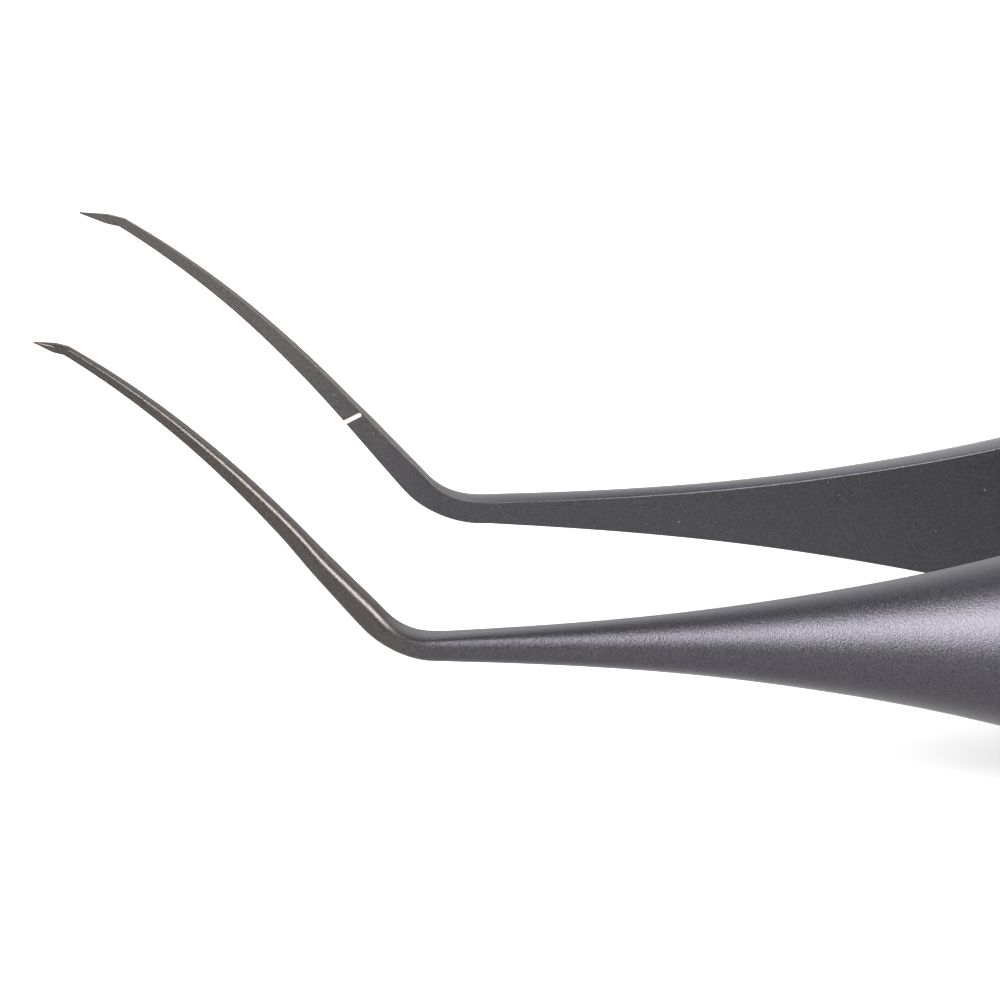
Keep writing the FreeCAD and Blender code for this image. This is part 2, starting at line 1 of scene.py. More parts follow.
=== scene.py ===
"""Looks of the round-handled angled micro forceps.

Row frame: X from the tips (-X) to the tail (+X), Y the way the arms open, Z up. Shapes are worked out in
millimetres, with the bend of the shaft at x = 0, and placed in metres.
"""

import math

import bmesh
import bpy
import numpy as np
from mathutils import Matrix, Vector


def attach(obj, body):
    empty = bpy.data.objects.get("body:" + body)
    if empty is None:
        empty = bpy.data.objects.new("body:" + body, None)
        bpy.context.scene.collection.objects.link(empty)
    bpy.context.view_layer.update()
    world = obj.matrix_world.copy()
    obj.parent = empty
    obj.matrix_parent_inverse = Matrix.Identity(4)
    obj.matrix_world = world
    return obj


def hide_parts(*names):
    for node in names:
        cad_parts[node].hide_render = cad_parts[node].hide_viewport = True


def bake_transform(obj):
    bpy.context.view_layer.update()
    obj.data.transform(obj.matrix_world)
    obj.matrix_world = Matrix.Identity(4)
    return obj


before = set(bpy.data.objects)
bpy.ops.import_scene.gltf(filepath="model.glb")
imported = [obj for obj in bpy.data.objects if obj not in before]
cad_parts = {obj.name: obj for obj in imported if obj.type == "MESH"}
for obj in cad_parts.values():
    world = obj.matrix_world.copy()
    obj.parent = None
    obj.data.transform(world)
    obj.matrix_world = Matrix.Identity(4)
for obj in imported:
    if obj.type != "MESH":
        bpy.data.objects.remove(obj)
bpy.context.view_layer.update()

MM = 0.001
FAR, NEAR = 1, -1
ARM_NAMES = {FAR: "far_arm", NEAR: "near_arm"}
LEAF_NAMES = {FAR: "far_leaf", NEAR: "near_leaf"}

# overall layout, as in the CAD part
BEND_X = 44.0
AXIS_HEIGHT = 4.0
OPEN_GAP = 3.708
OPEN_SLOPE = math.radians(1.82)
PIVOT_RUN = 70.0  # from the bend to the middle of the leaves

# handle
FLAT_DEPTH = 0.28  # from the inner face to the turning axis inside the arm
NECK_HALF, NECK_RUN, NECK_SLOPE = 0.285, 1.0, 0.03
# the flare's stations as shares of its length, and their radii after the neck's as shares of the grip's
FLARE_SHARES = (0.0, 0.115, 0.222, 0.329, 0.435, 0.57, 0.76, 1.0)
FLARE_SIZES = (0.135, 0.1996, 0.3057, 0.450, 0.684, 0.918, 1.0)
GRIP_RADIUS, FLARE_END, GRIP_END = 4.0, 29.0, 52.0
ARM_END, ARM_END_RADIUS, END_ROUND = 62.0, 3.4, 0.6
GROOVES, GROOVE_PITCH, GROOVE_RADIUS = 18, 1.05, 0.14
FIRST_GROOVE = (FLARE_END + GRIP_END - (GROOVES - 1) * GROOVE_PITCH) / 2
GUIDE_HOLE_RUN, GUIDE_HOLE_RADIUS, GUIDE_HOLE_DEPTH = 24.0, 0.95, 3.1

# bent shaft
BEND_RADIUS, BEND_ANGLE, BEND_START = 1.934, math.radians(50.96), 0.735
BEND_LENGTH = BEND_RADIUS * BEND_ANGLE
SHAFT = 9.9
CURVES = ((2.6, -0.0065), (3.2, 0.0359), (9.9, 0.0481))  # length, curvature after the bend
WIDTH_PLACES = (-BEND_LENGTH, -BEND_LENGTH / 2, 0.0, 2.2, 6.0, SHAFT)
HALF_WIDTHS = (0.285, 0.284, 0.344, 0.264, 0.18, 0.119)
DEPTH_PLACES = (0.0, 2.0, 2.7, 6.0, SHAFT)
DEPTHS = (0.466, 0.494, 0.393, 0.322, 0.175)
EASING, EASING_SAMPLES = 0.35, 13  # half the length over which sizes are averaged, and in how many samples
TOE_OUT, TOE_IN = -0.0067, 0.0003  # slope and curvature of the inner face's drift from the handle's flat

# pointed tip
TIP_LENGTH = {FAR: 1.067, NEAR: 0.8}
TIP_RISE, TIP_POINT = math.radians(14.8), 0.018
TIP_FIRST = 0.03  # share of the tip's length at its first section
TIP_KNEE, KNEE_SIZE, KNEE_TURN = 0.38, 0.98, 0.6  # where the tip starts to narrow, its size and turn there
TIP_THINNEST = 0.3  # the tip's depth doesn't go below this share of the shaft's

# engraved mark on the inner face
MARK_PLACE, MARK_REACH, MARK_TILT = 2.35, 0.175, math.radians(10.0)
MARK_WIDTH, MARK_SINK = 0.11, 0.03
MARK_BELOW, MARK_OUT, MARK_STEPS = 0.6, 0.2, 16  # the cutter starts below the shaft and in front of its face

# leaf springs
LEAF_THICKNESS, LEAF_WIDTH, LEAF_FREE, LEAF_SEAT, LEAF_BEVEL = 0.5, 5.0, 16.0, 8.2, 0.06
LEAF_PLAY = 0.02  # room round the leaf in the arm's pocket
LEAF_JOIN = 0.02  # from the leaf's bend to the first section of its seat in the tail
SEAT_STEPS, LEAF_BEND_STEPS = 5, 33

# section of an arm
AROUND_FLAT, AROUND_BACK, CORNER = 18, 96, 5  # points along the inner face, the back and each corner
BACK_SAMPLES = 241
FLAT_COVER = 0.97  # the inner face's evenly spaced points cover this share of its height
SIDE_LEAN = 0.07  # the ground shaft narrows by this share towards its back
SHARPNESS = 3.8  # squareness of the ground shaft's section: 2 is an ellipse
SHOULDER, SHOULDER_RISE = math.radians(40), 0.13  # where the levelled top meets the back, and its slope
GROUND_FADE = 2.4  # the ground section fades out over this length behind the end of the bend
LEVEL_FADE = 9.0  # the neck's levelled top and bottom fade out over this length behind it
EDGE_MOST, EDGE_GROWTH, EDGE_LEAST = 0.05, 0.05, 0.012  # rounding of the edges of the inner face
SHAFT_EDGE = 0.016

# stations along an arm
SAME_STATION_DIGITS = 5  # stations that agree to this many decimals are one
END_STATIONS, TAPER_STATIONS, FLARE_STATIONS, SHAFT_STATIONS, TIP_STATIONS = 10, 30, 150, 170, 16
GROOVE_STATIONS = (-2.4, -1.3, -1, -0.92, -0.7, -0.35, 0, 0.35, 0.7, 0.92, 1, 1.3)  # in groove radii

# cutters and shading
CUT_OVER = 1.0  # cutters stick out of the arm by this much
CYLINDER_STEPS = 48
ARM_CREASE, LEAF_CREASE, CAD_CREASE = math.radians(40), math.radians(30), math.radians(28)


# ---------------------------------------------------------------- small helpers
def arm_matrix(side):
    """From an arm drawn with its inner face on y = 0 (mm) to its open place in the row frame (m)."""
    shift = Matrix.Translation(Vector((-BEND_X, side * OPEN_GAP, AXIS_HEIGHT)) * MM)
    turn = Matrix.Rotation(-side * OPEN_SLOPE, 4, "Z")
    return shift @ turn @ Matrix.Scale(MM, 4)


def tail_matrix():
    """From a tail piece drawn on the handle axis (mm) to its place in the row frame (m)."""
    return Matrix.Translation(Vector((-BEND_X, 0, AXIS_HEIGHT)) * MM) @ Matrix.Scale(MM, 4)


def new_object(name, points, faces, materials, face_slots=None):
    """A smooth-shaded mesh object from numbers in metres."""
    mesh = bpy.data.meshes.new(name)
    mesh.from_pydata([tuple(p) for p in points], [], faces)
    for material in materials:
        mesh.materials.append(material)
    if face_slots is not None:
        mesh.polygons.foreach_set("material_index", np.asarray(face_slots, np.int32))
    shade_smooth(mesh)
    mesh.update()
    item = bpy.data.objects.new(name, mesh)
    bpy.context.scene.collection.objects.link(item)
    return item


def shade_smooth(mesh):
    """All faces smooth."""
    mesh.polygons.foreach_set("use_smooth", np.ones(len(mesh.polygons), bool))


def fix_normals(item):
    """Outward faces."""
    work = bmesh.new()
    work.from_mesh(item.data)
    bmesh.ops.recalc_face_normals(work, faces=work.faces)
    work.to_mesh(item.data)
    work.free()


def skin(rows, count):
    """Faces over rows of count points each: the bands between the rows, then the two ends."""
    faces = []
    for row in range(rows - 1):
        for column in range(count):
            following = (column + 1) % count
            a, b = row * count + column, row * count + following
            faces.append([a, b, b + count, a + count])
    faces.append(list(range(count))[::-1])
    faces.append([(rows - 1) * count + i for i in range(count)])
    return faces


def resample(line, count, margin):
    """Evenly spaced points of a line, which leave a margin at both of its ends."""
    steps = np.linalg.norm(np.diff(line, axis=0), axis=1)
    length = np.concatenate([[0.0], np.cumsum(steps)])
    places = np.linspace(margin, length[-1] - margin, count)
    return np.stack([np.interp(places, length, line[:, axis]) for axis in (0, 1)], axis=1)


def smooth_curve(x, xs, ys, first_slope, last_slope):
    """Cubic spline through stations with given end slopes."""
    count = len(xs)
    gaps = np.diff(xs)
    matrix = np.zeros((count, count))
    right = np.zeros(count)
    matrix[0, 0] = matrix[-1, -1] = 1.0
    right[0], right[-1] = first_slope, last_slope
    for i in range(1, count - 1):
        a, b = 1 / gaps[i - 1], 1 / gaps[i]
        matrix[i, i - 1 : i + 2] = a, 2 * (a + b), b
        right[i] = 3 * ((ys[i] - ys[i - 1]) * a * a + (ys[i + 1] - ys[i]) * b * b)
    slopes = np.linalg.solve(matrix, right)
    i = int(np.clip(np.searchsorted(xs, x) - 1, 0, count - 2))
    t = (x - xs[i]) / gaps[i]
    return (
        (1 + 2 * t) * (1 - t) ** 2 * ys[i]
        + t * (1 - t) ** 2 * gaps[i] * slopes[i]
        + t * t * (3 - 2 * t) * ys[i + 1]
        + t * t * (t - 1) * gaps[i] * slopes[i + 1]
    )


# ---------------------------------------------------------------- section of an arm
def levelled(turned, half, share):
    """The round back with its top and bottom levelled outward from the inner corners.

    A quadratic curve leaves each inner corner with the slope SHOULDER_RISE, and runs smoothly into the
    round back at the angle SHOULDER from its middle.
    """
    radius = math.hypot(half, FLAT_DEPTH)
    edge = math.pi / 2 + math.asin(FLAT_DEPTH / radius)
    meet = (1 - SHOULDER / edge) / 2
    end = np.array([radius * math.sin(SHOULDER), FLAT_DEPTH + radius * math.cos(SHOULDER)])
    fall = 1 / math.tan(SHOULDER)
    reach = (end[0] + fall * end[1] - half) / (fall + SHOULDER_RISE)
    control = np.array([half + SHOULDER_RISE * reach, reach])
    t = np.clip(share / meet, 0.0, 1.0)[:, None]
    curve = (1 - t) ** 2 * np.array([half, 0.0]) + 2 * t * (1 - t) * control + t * t * end
    upper = share < meet
    result = turned.copy()
    result[upper] = curve[upper]
    result[::-1][upper] = curve[upper] * (-1, 1)
    return result


def back_curve(half, depth, ground_share, level_share):
    """Dense back of a section (height, outward), from the upper to the lower inner corner."""
    share = np.linspace(0.0, 1.0, BACK_SAMPLES)
    radius = math.hypot(half, FLAT_DEPTH)
    edge = math.pi / 2 + math.asin(FLAT_DEPTH / radius)
    angle = edge * (1 - 2 * share)
    turned = np.stack([radius * np.sin(angle), FLAT_DEPTH + radius * np.cos(angle)], axis=1)
    turned = turned * (1 - level_share) + levelled(turned, half, share) * level_share
    phase = math.pi * share
    outward = depth * np.abs(np.sin(phase)) ** (2 / SHARPNESS)
    height = half * np.sign(np.cos(phase)) * np.abs(np.cos(phase)) ** (2 / SHARPNESS)
    ground = np.stack([height * (1 - SIDE_LEAN * outward / depth), outward], axis=1)
    return turned * (1 - ground_share) + ground * ground_share


def section_corner(start, apex, end):
    """Points of a rounded corner between two ends."""
    t = np.linspace(0, 1, CORNER + 2)[1:-1, None]
    return start * (1 - t) ** 2 + apex * 2 * t * (1 - t) + end * t**2


def section_loop(half, depth, ground_share, level_share, rounding):
    """Closed loop (height, outward): inner flat upwards, upper corner, back downwards, lower corner."""
    back = resample(back_curve(half, depth, ground_share, level_share), AROUND_BACK, rounding)
    inner = half - rounding
    even = np.linspace(-inner * FLAT_COVER, inner * FLAT_COVER, AROUND_FLAT - 2)
    heights = np.concatenate([[-inner], even, [inner]])
    flat = np.stack([heights, np.zeros(AROUND_FLAT)], axis=1)
    upper = section_corner(flat[-1], np.array([half, 0.0]), back[0])
    lower = section_corner(back[-1], np.array([-half, 0.0]), flat[0])
    return np.concatenate([flat, upper, back, lower])


def fading(behind, length):
    """From 1 at the end of the bend down to 0 at a length behind it."""
    share = min(1.0, max(0.0, behind / length))
    return 1 - share * share * (3 - 2 * share)


def section_kind(behind):
    """(ground share, levelled share) of the section at a distance behind the end of the bend."""
    return fading(behind, GROUND_FADE), fading(behind, LEVEL_FADE)


# ---------------------------------------------------------------- handle
def flare_radius(run, first):
    """Radius of the turned handle between the neck and the grip."""
    sizes = np.array([first, *(size * GRIP_RADIUS for size in FLARE_SIZES)])
    xs = NECK_RUN + np.array(FLARE_SHARES) * (FLARE_END - NECK_RUN)
    return smooth_curve(run, xs, sizes, NECK_SLOPE, 0.0)


def groove_cut(run):
    """Depth of the grip rings at a place on the grip."""
    index = round((run - FIRST_GROOVE) / GROOVE_PITCH)
    if not 0 <= index < GROOVES:
        return 0.0
    away = abs(run - FIRST_GROOVE - index * GROOVE_PITCH)
    return math.sqrt(max(0.0, GROOVE_RADIUS**2 - away**2))


def handle_radius(run, first):
    """Radius of the handle's back at a place; first is the radius at the neck."""
    if run <= FLARE_END:
        return flare_radius(run, first)
    if run <= GRIP_END:
        return GRIP_RADIUS - groove_cut(run)
    share = (run - GRIP_END) / (ARM_END - END_ROUND - GRIP_END)
    radius = GRIP_RADIUS - (GRIP_RADIUS - ARM_END_RADIUS) * min(share, 1.0)
    over = max(0.0, run - (ARM_END - END_ROUND))
    return radius - END_ROUND + math.sqrt(max(0.0, END_ROUND**2 - over**2))


def handle_runs():
    """Stations from the rear end to the neck, closer together where the shape changes quickly."""
    rear = ARM_END - END_ROUND * (1 - np.cos(np.linspace(0, math.pi / 2, END_STATIONS)))
    taper = np.linspace(ARM_END - END_ROUND, GRIP_END, TAPER_STATIONS)[1:]
    grip = []
    for index in range(GROOVES):
        centre = FIRST_GROOVE + index * GROOVE_PITCH
        grip += [centre + GROOVE_RADIUS * place for place in GROOVE_STATIONS]
    flare = np.linspace(FLARE_END, NECK_RUN, FLARE_STATIONS)
    runs = np.concatenate([rear, taper, grip, flare])
    return np.unique(np.round(runs, SAME_STATION_DIGITS))[::-1]


# ---------------------------------------------------------------- bent shaft
def along_path(run):
    """Point (x, z) and tangent angle of the centre line; run is 0 at the end of the bend."""
    x, z, angle = BEND_START, 0.0, 0.0
    left = run + BEND_LENGTH
    for length, curve in ((BEND_LENGTH, 1 / BEND_RADIUS), *((length, -curve) for length, curve in CURVES)):
        step = min(left, length)
        turned = angle + curve * step
        x -= (math.sin(turned) - math.sin(angle)) / curve
        z += (math.cos(angle) - math.cos(turned)) / curve
        angle = turned
        left -= step
    return x, z, angle


def inner_face_y(run):
    """How far the shaft's inner face lies outside the plane of the handle's flat."""
    run = max(run, 0.0)
    return TOE_OUT * run - TOE_IN * run * run


def eased(run, places, sizes):
    """Sizes between places, with the corners of their graph rounded off."""
    return float(np.mean(np.interp(run + np.linspace(-EASING, EASING, EASING_SAMPLES), places, sizes)))


# ---------------------------------------------------------------- stations along an arm
# each is (centre x, centre z, angle, y, half, depth, kind, rounding)
def handle_stations(neck):
    """Sections of the handle, from its rear end to the neck."""
    stations = []
    for run in handle_runs():
        radius = handle_radius(run, neck)
        half = math.sqrt(radius**2 - FLAT_DEPTH**2)
        kind = section_kind(BEND_LENGTH + run - BEND_START)
        rounding = min(EDGE_MOST, EDGE_GROWTH * half + EDGE_LEAST)
        stations.append((run, 0.0, 0.0, 0.0, half, FLAT_DEPTH + radius, kind, rounding))
    return stations


def shaft_stations(neck):
    """Sections of the bend and the bent shaft."""
    stations = []
    depth_places, depths = (-BEND_LENGTH, *DEPTH_PLACES), (FLAT_DEPTH + neck, *DEPTHS)
    for run in np.linspace(-BEND_LENGTH, SHAFT, SHAFT_STATIONS):
        x, z, angle = along_path(run)
        half, depth = eased(run, WIDTH_PLACES, HALF_WIDTHS), eased(run, depth_places, depths)
        stations.append((x, z, angle, inner_face_y(run), half, depth, section_kind(-run), SHAFT_EDGE))
    return stations


def tip_stations(side):
    """Sections of the pointed tip."""
    stations = []
    x, z, angle = along_path(SHAFT)
    slope = TOE_OUT - 2 * TOE_IN * SHAFT
    knots = [0, TIP_KNEE, 1]
    for share in np.linspace(TIP_FIRST, 1.0, TIP_STATIONS):
        turn = np.interp(share, knots, [angle, TIP_RISE * KNEE_TURN, TIP_RISE])
        size = np.interp(share, knots, [1.0, KNEE_SIZE, TIP_POINT / HALF_WIDTHS[-1]])
        along = share * TIP_LENGTH[side]
        px, pz = x - along * math.cos(TIP_RISE), z + along * math.sin(TIP_RISE)
        y = inner_face_y(SHAFT) + slope * along
        half, depth = HALF_WIDTHS[-1] * size, DEPTHS[-1] * max(size, TIP_THINNEST)
        stations.append((px, pz, turn, y, half, depth, section_kind(0.0), EDGE_LEAST * size))
    return stations


def build_arm(side, materials):
    """High-resolution arm; materials are the coated back and the ground flat."""
    neck = math.hypot(NECK_HALF, FLAT_DEPTH)
    stations = handle_stations(neck) + shaft_stations(neck) + tip_stations(side)
    points = []
    for x, z, angle, y, half, depth, kind, rounding in stations:
        for height, outward in section_loop(half, depth, *kind, rounding):
            points.append((x + height * math.sin(angle), side * (y + outward), z + height * math.cos(angle)))
    around = AROUND_FLAT + AROUND_BACK + 2 * CORNER
    faces = skin(len(stations), around)
    ring = [1] * (AROUND_FLAT - 1) + [0] * (around - AROUND_FLAT + 1)
    slots = ring * (len(stations) - 1) + [0, 0]
    if side == FAR:
        faces = [face[::-1] for face in faces]
    matrix = arm_matrix(side)
    placed = [matrix @ Vector(p) for p in points]
    return new_object(f"{ARM_NAMES[side]}_look", placed, faces, materials, slots)


# ---------------------------------------------------------------- materials
class Nodes:
    """A short way to write a node material."""

    def __init__(self, name):
        self.material = bpy.data.materials.new(name)
        self.material.use_nodes = True
        self.tree = self.material.node_tree
        self.shader = self.tree.nodes["Principled BSDF"]

    def add(self, kind, **settings):
        node = self.tree.nodes.new(kind)
        for key, setting in settings.items():
            setattr(node, key, setting)
        return node

    def link(self, output, target):
        self.tree.links.new(output, target)

    def place(self, stretch=(1, 1, 1)):
        """Object coordinates in millimetres, stretched."""
        coordinates = self.add("ShaderNodeTexCoord")
        mapping = self.add("ShaderNodeMapping")
        mapping.inputs["Scale"].default_value = [s / MM for s in stretch]
        self.link(coordinates.outputs["Object"], mapping.inputs["Vector"])
        return mapping.outputs["Vector"]

    def noise(self, vector, scale, detail=3.0, roughness=0.5):
        """Noise with scale cells per unit of the vector."""
        node = self.add("ShaderNodeTexNoise")
        node.inputs["Scale"].default_value = scale
        node.inputs["Detail"].default_value = detail
        node.inputs["Roughness"].default_value = roughness
        self.link(vector, node.inputs["Vector"])
        return node.outputs["Fac"]

    def spread(self, value, low, high, out_low=0.0, out_high=1.0):
        """The value's range from low to high, stretched to another range."""
        node = self.add("ShaderNodeMapRange")
        for key, number in (("From Min", low), ("From Max", high), ("To Min", out_low), ("To Max", out_high)):
            node.inputs[key].default_value = number
        self.link(value, node.inputs["Value"])
        return node.outputs["Result"]

    def mix(self, factor, first, second):
        """Colour mix; first and second are colours or sockets.

        The node names its sockets alike for every data type, so its colour sockets are picked by number.
        """
        node = self.add("ShaderNodeMix", data_type="RGBA")
        for socket, colour in ((node.inputs[6], first), (node.inputs[7], second)):
            if isinstance(colour, tuple):
                socket.default_value = (*colour, 1.0)
            else:
                self.link(colour, socket)
        self.link(factor, node.inputs[0])
        return node.outputs[2]

    def product(self, first, second):
        """Product of a socket and a socket or number."""
        node = self.add("ShaderNodeMath", operation="MULTIPLY")
        self.link(first, node.inputs[0])
        if isinstance(second, float):
            node.inputs[1].default_value = second
        else:
            self.link(second, node.inputs[1])
        return node.outputs[0]

    def split(self, vector):
        """The x, y and z of a vector."""
        node = self.add("ShaderNodeSeparateXYZ")
        self.link(vector, node.inputs[0])
        return node.outputs

    def bump(self, height, strength, distance):
        """Normal of a surface whose relief is as deep as distance, in metres."""
        node = self.add("ShaderNodeBump")
        node.inputs["Strength"].default_value = strength
        node.inputs["Distance"].default_value = distance
        self.link(height, node.inputs["Height"])
        return node.outputs["Normal"]

    def finish(self, colour, metallic, roughness, normal=None):
        """The material, with what is given joined to its shader."""
        self.link(colour, self.shader.inputs["Base Color"])
        self.shader.inputs["Metallic"].default_value = metallic
        if isinstance(roughness, float):
            self.shader.inputs["Roughness"].default_value = roughness
        else:
            self.link(roughness, self.shader.inputs["Roughness"])
        if normal is not None:
            self.link(normal, self.shader.inputs["Normal"])
        return self.material


RING_STRETCH, RING_SCALE = (1.0, 0.03, 0.03), 11.0  # streaks are fine along the handle and long round it
MOTTLE_SCALE, MOTTLE_RANGE, MOTTLE_SHINE = 19.0, (0.38, 0.62), (0.3, 0.7)
FINE_SCALE = 26.0
WARM_LIFT = 1.5  # the warm tint's light tone over its dark one
SPECK_SCALE, SPECK_EDGE, SPECK_CORE = 3.2, 0.07, 0.03
PATCH_SCALE, PATCH_RANGE = 1.7, (0.52, 0.6)  # specks appear in patches
COATING_RELIEF, COATING_RELIEF_STRENGTH = 0.00001, 0.6
METAL_RELIEF, METAL_RELIEF_STRENGTH = 0.000006, 0.3
COATING_ROUGH, METAL_ROUGH = (-0.04, 0.06), (-0.05, 0.07)  # how far the roughness varies
GRAIN_RANGE, GRAIN_DARK = (0.3, 0.7), 0.86


def coated(name, dark, light, warm, roughness, streak, grain, speck=0.0, fade=(1.5, -1.0)):
    """Dark hard coating: turning streaks round the axis, a fine mottled grain and a few bright specks.

    warm is the coating's tone on the bent shafts. It is warmer there and, for the ground coating, also
    lighter; fade is where that tone starts and is complete, as distances behind the bend.
    """
    n = Nodes(name)
    rings = n.noise(n.place(RING_STRETCH), RING_SCALE, detail=4.0, roughness=0.65)
    mottle = n.noise(n.place(), MOTTLE_SCALE, detail=4.0, roughness=0.75)
    fine = n.noise(n.place(), FINE_SCALE, detail=2.0, roughness=0.6)
    tone = n.spread(mottle, *MOTTLE_RANGE)
    colour = n.mix(tone, dark, light)
    tinted = n.mix(tone, warm, tuple(c * WARM_LIFT for c in warm))
    along = n.split(n.place())[0]
    colour = n.mix(n.spread(along, -BEND_X + fade[0], -BEND_X + fade[1]), colour, tinted)
    if speck:
        dots = n.add("ShaderNodeTexVoronoi")
        dots.inputs["Scale"].default_value = SPECK_SCALE
        n.link(n.place(), dots.inputs["Vector"])
        spot = n.spread(dots.outputs["Distance"], SPECK_EDGE, SPECK_CORE)
        chance = n.spread(n.noise(n.place(), PATCH_SCALE), *PATCH_RANGE)
        colour = n.mix(n.product(spot, chance), colour, (speck, speck, speck))
    height = n.add("ShaderNodeMath", operation="MULTIPLY_ADD")
    n.link(rings, height.inputs[0])
    height.inputs[1].default_value = streak
    n.link(n.product(fine, grain), height.inputs[2])
    rough = n.spread(mottle, *MOTTLE_SHINE, *(roughness + change for change in COATING_ROUGH))
    relief = n.bump(height.outputs[0], COATING_RELIEF_STRENGTH, COATING_RELIEF)
    return n.finish(colour, metallic=1.0, roughness=rough, normal=relief)


def bare_metal(name, colour, roughness, stretch, scale):
    """Uncoated steel with a fine grain, which is directional where stretch says so."""
    n = Nodes(name)
    grain = n.noise(n.place(stretch), scale, detail=4.0, roughness=0.6)
    tone = n.mix(n.spread(grain, *GRAIN_RANGE), tuple(c * GRAIN_DARK for c in colour), colour)
    rough = n.spread(grain, *GRAIN_RANGE, *(roughness + change for change in METAL_ROUGH))
    relief = n.bump(grain, METAL_RELIEF_STRENGTH, METAL_RELIEF)
    return n.finish(tone, metallic=1.0, roughness=rough, normal=relief)


OUTER = coated(
    "outer_coating",
    dark=(0.0355, 0.0342, 0.0395),
    light=(0.0565, 0.0548, 0.0632),
    warm=(0.0385, 0.035, 0.033),
    roughness=0.335,
    streak=0.3,
    grain=1.3,
)
GROUND = coated(
    "ground_coating",
    dark=(0.0318, 0.0314, 0.035),
    light=(0.048, 0.0472, 0.0512),
    warm=(0.0465, 0.0436, 0.043),
    roughness=0.46,
    streak=0.12,
    grain=3.0,
    speck=0.25,
    fade=(-0.3, -4.0),
)
LEAF_STEEL = bare_metal("leaf_steel", (0.36, 0.36, 0.37), roughness=0.32, stretch=(0.04, 1, 1), scale=14.0)
PIN_STEEL = bare_metal("pin_steel", (0.5, 0.5, 0.51), roughness=0.25, stretch=(1, 1, 1), scale=20.0)
MARK_STEEL = bare_metal("mark_metal", (0.53, 0.49, 0.465), roughness=0.5, stretch=(1, 1, 1), scale=30.0)


# ---------------------------------------------------------------- cutters
def box_object(name, low, high, matrix, material):
    """A box from corners in mm."""
    (x0, y0, z0), (x1, y1, z1) = low, high
    corners = [(x, y, z) for x in (x0, x1) for y in (y0, y1) for z in (z0, z1)]
    faces = [(0, 1, 3, 2), (4, 6, 7, 5), (0, 4, 5, 1), (2, 3, 7, 6), (0, 2, 6, 4), (1, 5, 7, 3)]
    return new_object(name, [matrix @ Vector(c) for c in corners], faces, [material])


def cylinder_object(name, centre, direction, radius, length, matrix, material):
    """A closed cylinder in mm, from centre along direction."""
    along = Vector(direction).normalized()
    side = along.orthogonal().normalized()
    other = along.cross(side)
    points = []
    for end in (0.0, length):
        for step in range(CYLINDER_STEPS):
            angle = 2 * math.pi * step / CYLINDER_STEPS
            spoke = side * math.cos(angle) + other * math.sin(angle)
            points.append(Vector(centre) + along * end + spoke * radius)
    return new_object(name, [matrix @ p for p in points], skin(2, CYLINDER_STEPS), [material])


def mark_cutter(side, material):
    """Slot with a round upper end across the inner face."""
    x, z, angle = along_path(MARK_PLACE)
    angle += MARK_TILT
    half = MARK_WIDTH / 2
    outline = [(-half, -MARK_BELOW), (half, -MARK_BELOW)]
    for step in range(MARK_STEPS + 1):
        turn = math.pi * step / MARK_STEPS
        outline.append((half * math.cos(turn), MARK_REACH + half * math.sin(turn)))
    points = []
    for y in (-MARK_OUT, MARK_SINK):
        for u, v in outline:
            px = x + u * math.cos(angle) + v * math.sin(angle)
            pz = z - u * math.sin(angle) + v * math.cos(angle)
            points.append(arm_matrix(side) @ Vector((px, side * (inner_face_y(MARK_PLACE) + y), pz)))
    return new_object("mark_cutter", points, skin(2, len(outline)), [material])


def cut(target, cutters):
    """Boolean cut, applied, with the cutters' own materials on the new faces."""
    for cutter in cutters:
        fix_normals(cutter)
        modifier = target.modifiers.new("cut", "BOOLEAN")
        modifier.object = cutter
        modifier.operation = "DIFFERENCE"
        modifier.solver = "EXACT"
        modifier.material_mode = "TRANSFER"
    graph = bpy.context.evaluated_depsgraph_get()
    mesh = bpy.data.meshes.new_from_object(target.evaluated_get(graph))
    target.modifiers.clear()
    target.data = mesh
    for cutter in cutters:
        bpy.data.objects.remove(cutter)


# ---------------------------------------------------------------- build
def make_arm(side):
    """One arm with its leaf pocket and its mark; the far arm also has the hole for the guide pin."""
    arm = build_arm(side, [OUTER, GROUND])
    fix_normals(arm)
    matrix = arm_matrix(side)
    start = ARM_END - LEAF_SEAT - LEAF_PLAY
    half = LEAF_WIDTH / 2 + LEAF_PLAY
    low_y, high_y = sorted((-CUT_OVER * side, LEAF_THICKNESS * side))
    pocket = box_object("pocket", (start, low_y, -half), (ARM_END + CUT_OVER, high_y, half), matrix, GROUND)
    cutters = [pocket, mark_cutter(side, MARK_STEEL)]
    if side == FAR:
        foot = (GUIDE_HOLE_RUN, -CUT_OVER, 0.0)
        length = GUIDE_HOLE_DEPTH + CUT_OVER
        cutters.append(cylinder_object("hole", foot, (0, 1, 0), GUIDE_HOLE_RADIUS, length, matrix, GROUND))
    cut(arm, cutters)
    shade_smooth(arm.data)
    arm.data.set_sharp_from_angle(angle=ARM_CREASE)
    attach(arm, ARM_NAMES[side])
    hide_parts(ARM_NAMES[side])


def leaf_line():
    """(x, y, angle) along the middle of the far leaf's thickness, from the tail to the arm."""
    radius = LEAF_FREE / OPEN_SLOPE
    tail_start = PIVOT_RUN + LEAF_FREE / 2
    middle = OPEN_GAP - PIVOT_RUN * math.tan(OPEN_SLOPE) + LEAF_THICKNESS / 2
    line = []
    for run in np.linspace(LEAF_JOIN, LEAF_SEAT, SEAT_STEPS)[::-1]:
        line.append((tail_start + run, middle, 0.0))
    for angle in np.linspace(0.0, OPEN_SLOPE, LEAF_BEND_STEPS):
        x, y = tail_start - radius * math.sin(angle), middle + radius * (1 - math.cos(angle))
        line.append((x, y, angle))
    x, y, angle = line[-1]
    for run in np.linspace(0, LEAF_SEAT, SEAT_STEPS + 1)[1:]:
        line.append((x - run * math.cos(angle), y + run * math.sin(angle), angle))
    return line


